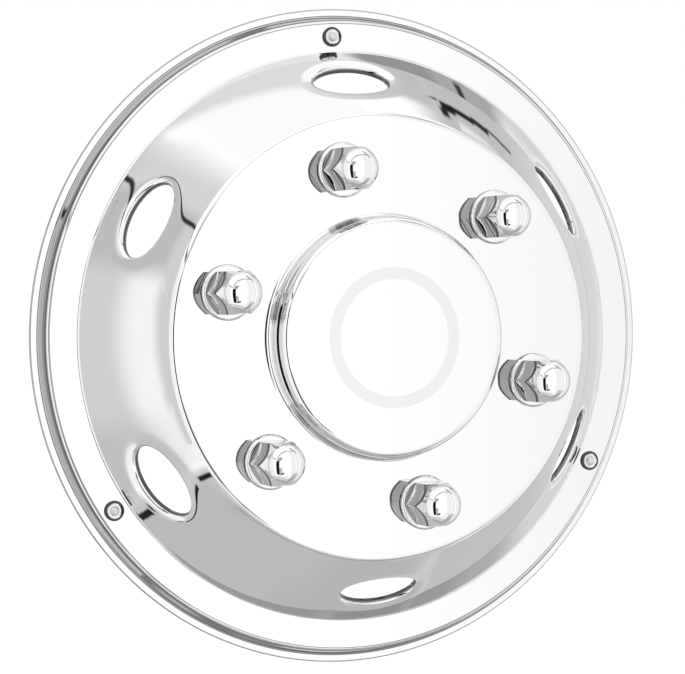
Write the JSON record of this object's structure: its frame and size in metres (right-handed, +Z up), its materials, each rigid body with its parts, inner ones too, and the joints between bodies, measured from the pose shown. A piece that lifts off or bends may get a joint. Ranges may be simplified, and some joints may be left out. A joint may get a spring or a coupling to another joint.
{
  "type": "truck wheel simulator",
  "caption": "Mirror-polished stainless front wheel cover for a light truck: stepped rim, conical wall with oval vents, flat face with domed nut covers, and a raised closed hub.",
  "frame": {"origin": "on the wheel's axis, in the plane where the cover's hemmed edge sits on the rim", "axes": "+Y along the wheel's axis towards the vehicle, so the cover faces -Y; +Z up; +X to the viewer's right"},
  "size_m": [0.4358, 0.1164, 0.4358],
  "materials": {
    "polished_stainless": "mirror polished",
    "bright_nut": "bright plated",
    "rivet_metal": "bright, lightly dulled",
    "spring_steel": "plain"
  },
  "bodies": {
    "root": {"wheel_liner": "polished_stainless", "lug_nut_cover_1": "bright_nut", "lug_nut_cover_2": "bright_nut", "lug_nut_cover_3": "bright_nut", "lug_nut_cover_4": "bright_nut", "lug_nut_cover_5": "bright_nut", "lug_nut_cover_6": "bright_nut", "nut_retainer_1": "spring_steel", "nut_retainer_2": "spring_steel", "nut_retainer_3": "spring_steel", "nut_retainer_4": "spring_steel", "nut_retainer_5": "spring_steel", "nut_retainer_6": "spring_steel", "clip_rivet_1": "rivet_metal", "clip_rivet_2": "rivet_metal", "clip_rivet_3": "rivet_metal", "rim_clip_1": "spring_steel", "rim_clip_2": "spring_steel", "rim_clip_3": "spring_steel"}
  },
  "joints": []
}
